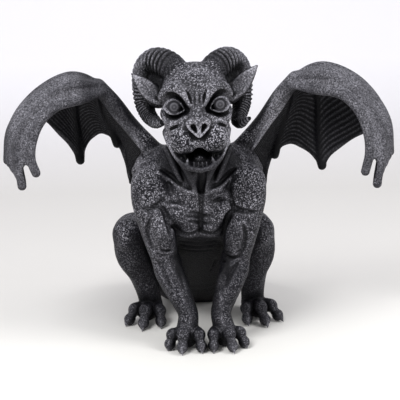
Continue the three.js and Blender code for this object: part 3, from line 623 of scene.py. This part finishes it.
wingSpots = []
for pose in (wing["right"], wing["left"]):
    spots, span, f, v, gap = wingSkin(pose)
    toFinger = np.minimum(f, 1 - f)
    last = (span == len(wing["fingers"]) - 2) & (f > 0.5)
    onFinger = np.exp(-(toFinger / (0.55 * wing["ridgeShare"])) ** 2) * ~last
    half = wing["skin"] / 2 + onFinger * (wing["bone"] - wing["skin"] / 2) * (1 - 0.35 * v)
    apart = toFinger * gap
    half = half + wing["rib"] * np.exp(-(apart / 1.5) ** 2) * smooth(0.02, 0.15, v) * ~last
    inMembrane = smooth(1.5, 5, apart) * (span >= 2) * smooth(0.08, 0.2, v)
    wave = (0.5 + 0.5 * np.cos(math.tau * (wing["wrinkles"] * v + 0.25 * np.sin(9 * f + 3 * span)))) ** 1.5
    streaks = np.sin(math.tau * (6 * f + 0.12 * np.sin(14 * v))) * (span < 2)
    half = half + wing["wrinkle"] * (wave - 0.4) * inMembrane + 0.2 * streaks * smooth(0, 0.1, toFinger)
    clay.sheet(spots.reshape(-1, 3), half.reshape(-1), blend=2.0)
    arm = bent(np.array(wing["arm"])[:, :3], pose)
    armStations = [[*spot, radius] for spot, radius in zip(arm, np.array(wing["arm"])[:, 3])]
    clay.stroke(armStations, lambda station: station, 3.0, sides=(pose["side"],))
    fold = bent(np.array(wing["foldBesideArm"])[:, :3], pose)
    foldStations = [[*spot, radius] for spot, radius in zip(fold, np.array(wing["foldBesideArm"])[:, 3])]
    clay.stroke(foldStations, lambda station: station, 1.5, sides=(pose["side"],))
    wingSpots.append((pose, spots, span, f, v, inMembrane))
print("wings")

# Ears: pointed leaves, hollowed in front, a little longer at +X
ear = {
    "leaf": [[-4, 0, 0, 5.5], [6, 0.5, -1, 7.2], [15, 0, 0, 5.2], [26.5, -1.5, 1, 0.7]],
    "hollow": [[1, -4, -0.5, 4.2], [8, -4.2, -0.6, 5.6], [15, -4, 0.3, 4.0], [22, -3.2, 1.0, 1.3]],
    "at": (27.5, 2, 11.5),
    "rise": 0.72,
    "turn": 0.12,
    "stretch": {1: 1.14, -1: 1.04},
}


def onEar(station):  # from the ear's own axes, along it, through it and across it
    x, y, z, r = station
    side = 1 if x > 0 else -1
    x = (abs(x) - 100) * ear["stretch"][side]
    c, s = math.cos(ear["turn"]), math.sin(ear["turn"])
    x, y = c * x - s * y, s * x + c * y
    c, s = math.cos(ear["rise"]), math.sin(ear["rise"])
    x, z = c * x - s * z, s * x + c * z
    return onHead((side * (ear["at"][0] + x), ear["at"][1] + y, ear["at"][2] + z, r))


def away(stations):  # so that each station says which side it is on
    return [[x + 100, y, z, r] for x, y, z, r in stations]


leaf = Clay((-75, -60, 180), (75, 30, 245), figure["pitch"])
leaf.stroke(away(ear["leaf"]), onEar, 0.5, squash=(1, 0.42, 1))
leaf.stroke(away(ear["hollow"]), onEar, 0.8, squash=(1, 0.7, 1), hollow=True)
cut, axes = clay.window(leaf.low, leaf.low + (leaf.count - 1) * leaf.pitch)
grid = np.stack(np.meshgrid(*axes, indexing="ij"), axis=-1).reshape(-1, 3)
clay.blendIn(cut, leaf.sample(grid).reshape([len(a) for a in axes]), 1.2)
print("ears")

# The floor takes off what is below it
cut, axes = clay.window(clay.low, (clay.low[0] + 1e4, clay.low[1] + 1e4, 3))
clay.depth[cut] = np.maximum(clay.depth[cut], -axes[2][None, None, :])

points, faces = clay.surface()
print("surface", len(points), "points", len(faces), "faces")

# Wing tips and rump are drawn in a little, so that they stay inside the solid's box
for axis, limit, share in ((0, 138.0, 0.9), (1, 90.0, 0.95)):
    offset = points[:, axis] - figure["drawnMiddle"][axis]
    beyond = np.abs(offset) > limit
    drawnIn = np.sign(offset) * (limit + (np.abs(offset) - limit) * share) + figure["drawnMiddle"][axis]
    points[:, axis] = np.where(beyond, drawnIn, points[:, axis])
points[:, 2] = np.maximum(points[:, 2], 0)


# The statue's mesh, in metres, in the part's frame
scale = figure["height"] / figure["drawnHeight"]
middle = np.array([*figure["drawnMiddle"], 0])
mesh = bpy.data.meshes.new("castGargoyle")
mesh.vertices.add(len(points))
mesh.vertices.foreach_set("co", ((points - middle) * scale).astype(np.float32).reshape(-1))
mesh.loops.add(4 * len(faces))
mesh.loops.foreach_set("vertex_index", faces.astype(np.int32).reshape(-1))
mesh.polygons.add(len(faces))
mesh.polygons.foreach_set("loop_start", np.arange(len(faces), dtype=np.int32) * 4)
mesh.update(calc_edges=True)
statue = bpy.data.objects.new("castGargoyle", mesh)
bpy.context.scene.collection.objects.link(statue)
bpy.ops.object.select_all(action="DESELECT")
statue.select_set(True)
bpy.context.view_layer.objects.active = statue
bpy.ops.object.mode_set(mode="EDIT")
bpy.ops.mesh.select_all(action="SELECT")
bpy.ops.mesh.quads_convert_to_tris()
bpy.ops.object.mode_set(mode="OBJECT")
thin = statue.modifiers.new("thin", "DECIMATE")
thin.ratio = min(1.0, figure["triangles"] / (2 * len(faces)))
bpy.ops.object.modifier_apply(modifier="thin")
bpy.ops.object.shade_smooth()
print("mesh", len(statue.data.polygons), "triangles")

# How deep in a hollow, or how far out on an edge, each corner of the mesh lies. Reaches are in drawn units.
relief = {
    "hollows": ((1.5, 0.3), (4.0, 0.35), (8.0, 0.35)),  # reach and weight
    "cave": 12.0,  # reach of the broad hollows between limbs
    "edge": 1.2,
    "bulges": (2.5, 5.0),
    "bulge": 0.9,  # how much a bulge counts against a sharp edge
}
count = len(statue.data.vertices)
places = np.empty(count * 3, np.float32)
statue.data.vertices.foreach_get("co", places)
places = places.reshape(-1, 3) / scale + middle
normals = np.empty(count * 3, np.float32)
statue.data.vertices.foreach_get("normal", normals)
normals = normals.reshape(-1, 3)


def openness(reach):  # 1 where the air is clear that far out, 0 where it isn't
    return clay.sample(places + normals * reach) / reach


def thinness(reach):  # 1 where the stone is gone that far in, 0 where it isn't
    return np.clip(1 + clay.sample(places - normals * reach) / reach, 0, 1)


# hollow and cave are painted shade: the more stone closes in the air in front of a corner, the darker it is
# painted
hollow = sum(weight * np.clip(1 - openness(reach), 0, 1.5) for reach, weight in relief["hollows"])
cave = np.clip(1 - openness(relief["cave"]), 0, 1)
bulge = sum(thinness(reach) for reach in relief["bulges"]) / len(relief["bulges"])
edge = np.clip(thinness(relief["edge"]) + relief["bulge"] * bulge, 0, 1.5)

# How much pale dust the dry brush leaves, with painted light and shade mixed in: most on the face and upper
# body, more the higher up as painted light from above, least on the belly, the neck and what faces down or
# inward, as painted shade
dustAndToplight = {
    "feet": 0.30,
    "shoulders": 0.72,
    "forehead": 1.05,
    "muzzle": 1.85,
    "horns": 0.55,
    "onEdgesOfFeet": 0.6,  # added share
}
# Where dust is taken off the belly, behind the wings, the legs, the neck, the chin and inward faces, this is
# painted shade
lessDustAndShade = {  # the share taken off in each area
    "belly": 0.75,
    "behindWings": 0.5,
    "wingArmLeft": 0.75,
    "wingTipLeft": 0.45,
    "legs": 0.3,
    "wings": 0.42,
    "wingEdges": 0.5,
    "neck": 0.75,
    "chin": 0.6,
    "inward": 0.5,
}
x, y, z = places.T
sideways = np.abs(x)
seat = np.array(figure["headAt"])
toHead = np.linalg.norm((places - seat - (0, 0, -4)) / (31, 34, 38), axis=1)  # about 1 on the face
collarAt = 126.5 + 0.53 * np.abs(x - 1)
areas = {
    "belly": smooth(115, 95, z) * smooth(34, 22, sideways) * smooth(-4, 4, y),
    "behindWings": smooth(8, 26, y) * smooth(60, 85, sideways),
    "wingArmLeft": smooth(-44, -52, x) * smooth(-94, -84, x) * smooth(150, 160, z),
    "wingTipLeft": smooth(-140, -146, x),
    "legs": smooth(80, 66, z) * smooth(-12, 0, y),
    "wings": smooth(60, 84, sideways) * smooth(118, 130, z),
    "neck": (smooth(0, 5, z - collarAt) * smooth(38, 28, sideways) * smooth(15, 5, y)
             * smooth(1.05, 1.2, toHead)),
    "chin": smooth(-31, -36, z - seat[2]) * (toHead < 1.25),
}
# Painted light from above: the higher a corner lies, the more dust it takes; far out to the sides it takes
# less
brushedAndShaded = smooth(30, 150, z) * (1 - 0.5 * smooth(60, 85, sideways))
brushedAndShaded = dustAndToplight["feet"] + (dustAndToplight["shoulders"] - dustAndToplight["feet"]) * brushedAndShaded
face = dustAndToplight["forehead"] + (dustAndToplight["muzzle"] - dustAndToplight["forehead"]) * smooth(6, -8, z - seat[2])
brushedAndShaded = np.maximum(brushedAndShaded, face * (1 - smooth(0.92, 1.25, toHead)))
for name, area in areas.items():
    brushedAndShaded = brushedAndShaded * (1 - lessDustAndShade[name] * area)
edge = edge * (1 - lessDustAndShade["wingEdges"] * areas["wings"])
edge = edge * (1 + dustAndToplight["onEdgesOfFeet"] * smooth(30, 18, z))

# Off the face, painted shade: dust thins out on what faces down or inward and in the broad hollows between
# limbs
belowShoulders = (sideways < 70) & (z < 128)
inward = smooth(0.1, -0.7, normals[:, 0] * np.sign(x)) * belowShoulders
shaded = (0.6 + 0.4 * smooth(-0.6, 0.3, normals[:, 2])) * (1 - lessDustAndShade["inward"] * inward)
shaded = shaded * (1.4 - 1.3 * smooth(0.05, 0.75, cave))
brushedAndShaded = brushedAndShaded * (1 + smooth(0.95, 1.2, toHead) * (shaded - 1))

# Which ring of a horn each corner lies on, and where the horns are
onHorn = np.zeros(count)
ringAt = np.zeros(count)
for ending, seatOf, side in (("flared", lowered, 1), ("tucked", onHead, -1)):
    line = np.array([seatOf((side * sx, sy, sz, sr)) for sx, sy, sz, sr in horn["path"] + horn[ending]])
    t = np.linspace(0, 1, 1500)
    axis = curveThrough(line[:, :3], t)
    girth = between(line[:, 3], t)
    near = np.flatnonzero((x * side > 4) & (z > 165) & (y > -28) & (sideways < 62))
    for part in np.array_split(near, max(1, len(near) // 4000)):
        apart = np.linalg.norm(places[part][:, None, :] - axis[None], axis=2)
        best = apart.argmin(axis=1)
        on = smooth(1.6, 0.4, apart[np.arange(len(part)), best] - girth[best]) * smooth(0.06, 0.14, t[best])
        onHorn[part] = on
        ringAt[part] = t[best] * horn["rings"]
brushedAndShaded = brushedAndShaded * (1 - onHorn) + dustAndToplight["horns"] * onHorn

# Which wrinkle of a wing's skin each corner lies on, and how far inside the wing it is
onSkin = np.zeros(count)
wrinkleAt = np.zeros(count)
inWing = np.zeros(count)
for pose, spots, span, f, v, inMembrane in wingSpots:
    flatSpots = spots.reshape(-1, 3)
    tree = kdtree.KDTree(len(flatSpots))
    for k, spot in enumerate(flatSpots.tolist()):
        tree.insert(spot, k)
    tree.balance()
    phase = (wing["wrinkles"] * v + 0.25 * np.sin(9 * f + 3 * span)).reshape(-1)
    membrane = inMembrane.reshape(-1)
    cupped = ((span >= 2) * smooth(0.03, 0.16, v)).reshape(-1)
    for corner in np.flatnonzero((x * pose["side"] > 38) & (z > 108)):
        hits = tree.find_n(places[corner].tolist(), 3)
        if hits[0][2] > 4.6:
            continue
        index = [hit[1] for hit in hits]
        weight = np.array([1 / (hit[2] + 0.2) for hit in hits])
        weight /= weight.sum()
        wrinkleAt[corner] = phase[index] @ weight
        onSkin[corner] = membrane[index] @ weight
        inWing[corner] = cupped[index] @ weight
# Painted shade inside the cupped wings, most where they face forward, under the chest and on the neck under
# the head
facing = smooth(0.35, -0.35, normals[:, 1])
inWing = inWing * (0.45 + 0.55 * facing)
inBelly = smooth(94, 86, z) * smooth(27, 19, np.abs(x - 2)) * smooth(-9, -3, y)
hollow = np.maximum(hollow, 0.46 * np.maximum(inWing, inBelly))
hollow = np.maximum(hollow, 0.22 * areas["neck"])
smoothHide = np.maximum(onHorn, 0.6 * smooth(40, 52, sideways) * smooth(136, 150, z))
layers = {
    "hollow": hollow, "edge": edge, "brushedAndShaded": brushedAndShaded, "onHorn": onHorn, "ringAt": ringAt,
    "onSkin": onSkin, "wrinkleAt": wrinkleAt, "smoothHide": smoothHide,
}
for name, values in layers.items():
    layer = statue.data.attributes.new(name, "FLOAT", "POINT")
    layer.data.foreach_set("value", values.astype(np.float32))
outward = clay.sample(places + normals * 0.5) > clay.sample(places - normals * 0.5)
print("hollows", float(hollow.mean()), "edges", float(edge.mean()), "facing out", float(outward.mean()))


# Shader maths: a socket with operators
class Shade:
    def __init__(self, tree, socket):
        self.tree = tree
        self.socket = socket

    def math(self, operation, a, b=None):
        node = self.tree.nodes.new("ShaderNodeMath")
        node.operation = operation
        for k, value in enumerate([a] if b is None else [a, b]):
            if isinstance(value, Shade):
                self.tree.links.new(value.socket, node.inputs[k])
            else:
                node.inputs[k].default_value = value
        return Shade(self.tree, node.outputs[0])

    def __add__(self, other):
        return self.math("ADD", self, other)

    def __radd__(self, other):
        return self.math("ADD", other, self)

    def __sub__(self, other):
        return self.math("SUBTRACT", self, other)

    def __rsub__(self, other):
        return self.math("SUBTRACT", other, self)

    def __mul__(self, other):
        return self.math("MULTIPLY", self, other)

    def __rmul__(self, other):
        return self.math("MULTIPLY", other, self)

    def clamp(self, low=0.0, high=1.0):
        return self.math("MINIMUM", self.math("MAXIMUM", self, low), high)

    def wave(self):  # 1 at whole numbers and 0 half way between them
        return self.math("COSINE", self * math.tau) * 0.5 + 0.5


class Material:
    def __init__(self, name):
        self.material = bpy.data.materials.new(name)
        self.material.use_nodes = True
        self.tree = self.material.node_tree
        self.shader = next(n for n in self.tree.nodes if n.type == "BSDF_PRINCIPLED")

    def node(self, kind, settings=None, **inputs):
        node = self.tree.nodes.new(kind)
        for key, value in (settings or {}).items():
            setattr(node, key, value)
        for key, value in inputs.items():
            socket = node.inputs[int(key[1:])] if key[0] == "i" and key[1:].isdigit() else node.inputs[key]
            if isinstance(value, Shade):
                self.tree.links.new(value.socket, socket)
            else:
                socket.default_value = value
        return node

    def out(self, node, name=0):
        return Shade(self.tree, node.outputs[name])

    def attribute(self, name):
        return self.out(self.node("ShaderNodeAttribute", {"attribute_name": name}), "Fac")

    def noise(self, place, scale, detail, output="Fac"):
        return self.out(self.node("ShaderNodeTexNoise", Vector=place, Scale=scale, Detail=detail), output)

    def mix(self, share, a, b):
        return self.out(self.node("ShaderNodeMix", {"data_type": "RGBA"}, i0=share, i6=a, i7=b), 2)

    def set(self, name, value):
        if isinstance(value, Shade):
            self.tree.links.new(value.socket, self.shader.inputs[name])
        else:
            self.shader.inputs[name].default_value = value


stone = {
    # painted shade: the near-black that hollows are painted
    "hollow": (0.002, 0.002, 0.003, 1),
    "body": (0.008, 0.0078, 0.0105, 1),
    "dusted": (0.365, 0.358, 0.402, 1),
    "roughness": 0.5,
    "shine": 0.12,
    "pebbles": 820.0,  # pebbles of the hide to the metre
    "pebbleDepth": 0.0006,
    "pebblesMoved": 0.0035,  # how far the pebbles stray from their cells
    "waves": 260.0,
    "grit": 900.0,
    "smudges": 70.0,
    "iris": 0.0031,  # metres from the middle of the eye to its ring
}
eyeSpots = [tuple((np.array(spot) - middle) * scale) for spot in irises]
cast = Material("castStone")
coordinates = cast.out(cast.node("ShaderNodeTexCoord"), "Object")
hollowShadeHere = cast.attribute("hollow")
edgeHere = cast.attribute("edge")
brushedAndShadedHere = cast.attribute("brushedAndShaded")
waves = cast.noise(coordinates, stone["waves"], 2.0, "Color")
share = stone["pebblesMoved"]
moved = cast.node("ShaderNodeMix", {"data_type": "VECTOR"}, i0=share, i4=coordinates, i5=waves)
moved = cast.out(moved, 1)
pebbles = cast.node("ShaderNodeTexVoronoi", {"feature": "F1"}, Vector=moved, Scale=stone["pebbles"])
grit = cast.noise(coordinates, stone["grit"], 3.0)
smudge = cast.noise(coordinates, stone["smudges"], 5.0)
cells = cast.out(pebbles, "Color")
tops = (1.35 - cast.out(pebbles, "Distance") * 2.4).clamp()
height = tops * 0.6 + grit * 0.4
bump = cast.node("ShaderNodeBump", Height=height, Strength=0.8, Distance=stone["pebbleDepth"])
cast.set("Normal", cast.out(bump, "Normal"))
crest = cast.attribute("wrinkleAt").wave()
crest = crest * crest * cast.attribute("onSkin")
# Between the horn's rings the grooves take no dust and are painted darker, a painted shade
ring = cast.attribute("ringAt").wave()
groove = (ring * ring * cast.attribute("onHorn") * 1.5).clamp()
speckle = (grit * 5.0 - 2.0).clamp()
picked = (cells * 1.5 + 0.05).clamp()
smoothHere = cast.attribute("smoothHide")
patches = (smudge * 2.6 - 0.75).clamp()
pattern = tops * picked * (1 - smoothHere) + smoothHere * (0.2 + speckle * 0.3)
# Pale dust on pebble tops and edges, taken off again in hollows and in the horn's grooves as painted shade
dustAndShade = brushedAndShadedHere * pattern * (0.35 + speckle * 0.65) * (0.25 + patches * 0.75) * 2.6
dustAndShade = dustAndShade + edgeHere * (0.2 + brushedAndShadedHere * 0.75) * (0.2 + tops * 0.35 + speckle * 0.45)
dustAndShade = (dustAndShade * (1 - hollowShadeHere * 2.2).clamp() * (1 - groove)).clamp() + crest * (0.03 + speckle * 0.10)
for eyeSpot in eyeSpots:
    apart = cast.node("ShaderNodeVectorMath", {"operation": "DISTANCE"}, i0=coordinates, i1=eyeSpot)
    apart = cast.out(apart, "Value") * (1 / stone["iris"])
    onBall = (7.2 - apart * 4).clamp()
    inIris = (7.0 - apart * 6).clamp()
    rings = (apart * 1.1).wave()
    # Painted shade around the eyeball, where the socket lies
    socketShade = (2.6 - apart).clamp() * 0.55
    dustAndShade = dustAndShade * (1 - socketShade) * (1 - onBall) + onBall * (inIris * (rings * 0.15 + 0.05) + 0.03)
# Painted shade: hollows and the horn's grooves darken the ground coat towards near black
shadow = (hollowShadeHere * 2.0 - 0.15 + groove).clamp()
groundAndShade = cast.mix(shadow, stone["body"], stone["hollow"])
cast.set("Base Color", cast.mix(dustAndShade, groundAndShade, stone["dusted"]))
cast.set("Roughness", stone["roughness"] + dustAndShade * 0.25)
cast.set("Specular IOR Level", stone["shine"])
statue.data.materials.append(cast.material)

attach(statue, "root")
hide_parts("gargoyle")
print("stone")


# Floor and backdrop: one pale sheet that curves up behind
studio = {
    "floor": (0.74, 0.73, 0.705, 1),
    "behind": (0.625, 0.61, 0.595, 1),  # the floor behind the statue
    # painted light: the wall is made brighter where the lamps' light falls off
    "wall": (0.945, 0.93, 0.97, 1),
    "bendAt": 0.75,
    "bend": 0.7,
    "fill": 0.62,
    "key": 17.0,
    "side": 8.0,
}
profile = [(-2.5, 0.0), (-0.5, 0.0), (0.0, 0.0), (studio["bendAt"], 0.0)]
for k in range(1, 17):
    turn = math.radians(90 * k / 16)
    back, up = math.sin(turn), 1 - math.cos(turn)
    profile.append((studio["bendAt"] + studio["bend"] * back, studio["bend"] * up))
profile.append((studio["bendAt"] + studio["bend"], 3.0))
sweep = bpy.data.meshes.new("floor")
corners = [(side * 3.0, y, z) for y, z in profile for side in (-1, 1)]
sweep.from_pydata(corners, [], [(2 * k, 2 * k + 1, 2 * k + 3, 2 * k + 2) for k in range(len(profile) - 1)])
sweep.polygons.foreach_set("use_smooth", [True] * len(sweep.polygons))
floor = bpy.data.objects.new("floor", sweep)
bpy.context.scene.collection.objects.link(floor)
plain = Material("paleFloor")
spot = plain.node("ShaderNodeSeparateXYZ", Vector=plain.out(plain.node("ShaderNodeTexCoord"), "Object"))
behind = ((plain.out(spot, "Y") + 0.08) * 4.5).clamp()
farBehind = ((plain.out(spot, "Y") - 0.45) * 1.7).clamp()
tint = plain.mix(behind, studio["floor"], studio["behind"])
plain.set("Base Color", plain.mix(farBehind, tint, studio["wall"]))
plain.set("Roughness", 0.75)
floor.data.materials.append(plain.material)

world = bpy.data.worlds.new("studio")
world.use_nodes = True
background = next(n for n in world.node_tree.nodes if n.type == "BACKGROUND")
background.inputs["Color"].default_value = (0.97, 0.98, 1.0, 1)
background.inputs["Strength"].default_value = studio["fill"]
bpy.context.scene.world = world
bpy.context.scene.view_settings.view_transform = "Standard"


def lamp(name, place, aim, size, power):
    light = bpy.data.lights.new(name, "AREA")
    light.size = size
    light.energy = power
    holder = bpy.data.objects.new(name, light)
    bpy.context.scene.collection.objects.link(holder)
    holder.location = place
    holder.rotation_euler = Vector(np.array(aim) - np.array(place)).to_track_quat("-Z", "Y").to_euler()


lamp("key", (-0.55, -0.75, 1.15), (0, 0, 0.12), 0.55, studio["key"])
lamp("side", (0.85, -0.45, 0.85), (0, 0, 0.12), 0.5, studio["side"])

# Camera: a metre from the statue, a little to its left and above
camera = {
    "distance": 1.0,
    "azimuth": -2.0,
    "elevation": 15.0,
    "roll": -1.0,
    "target": (-0.0008, -0.0484, 0.118),
    "framed": 0.3108,  # width in metres that fills the frame at the target
    "shift": (0.0025, 0.0075),
}
lens = bpy.data.cameras.new("camera")
lens.sensor_width = 36
lens.lens = 36 * camera["distance"] / camera["framed"]
lens.shift_x, lens.shift_y = camera["shift"]
lens.clip_start = 0.05
eye = bpy.data.objects.new("camera", lens)
bpy.context.scene.collection.objects.link(eye)
azimuth, elevation = math.radians(camera["azimuth"]), math.radians(camera["elevation"])
level = math.cos(elevation)
back = np.array([math.sin(azimuth) * level, -math.cos(azimuth) * level, math.sin(elevation)])
eye.location = np.array(camera["target"]) + back * camera["distance"]
roll = Matrix.Rotation(math.radians(camera["roll"]), 3, "Z")
eye.rotation_euler = (Vector(-back).to_track_quat("-Z", "Y").to_matrix() @ roll).to_euler()
bpy.context.scene.camera = eye
print("camera")
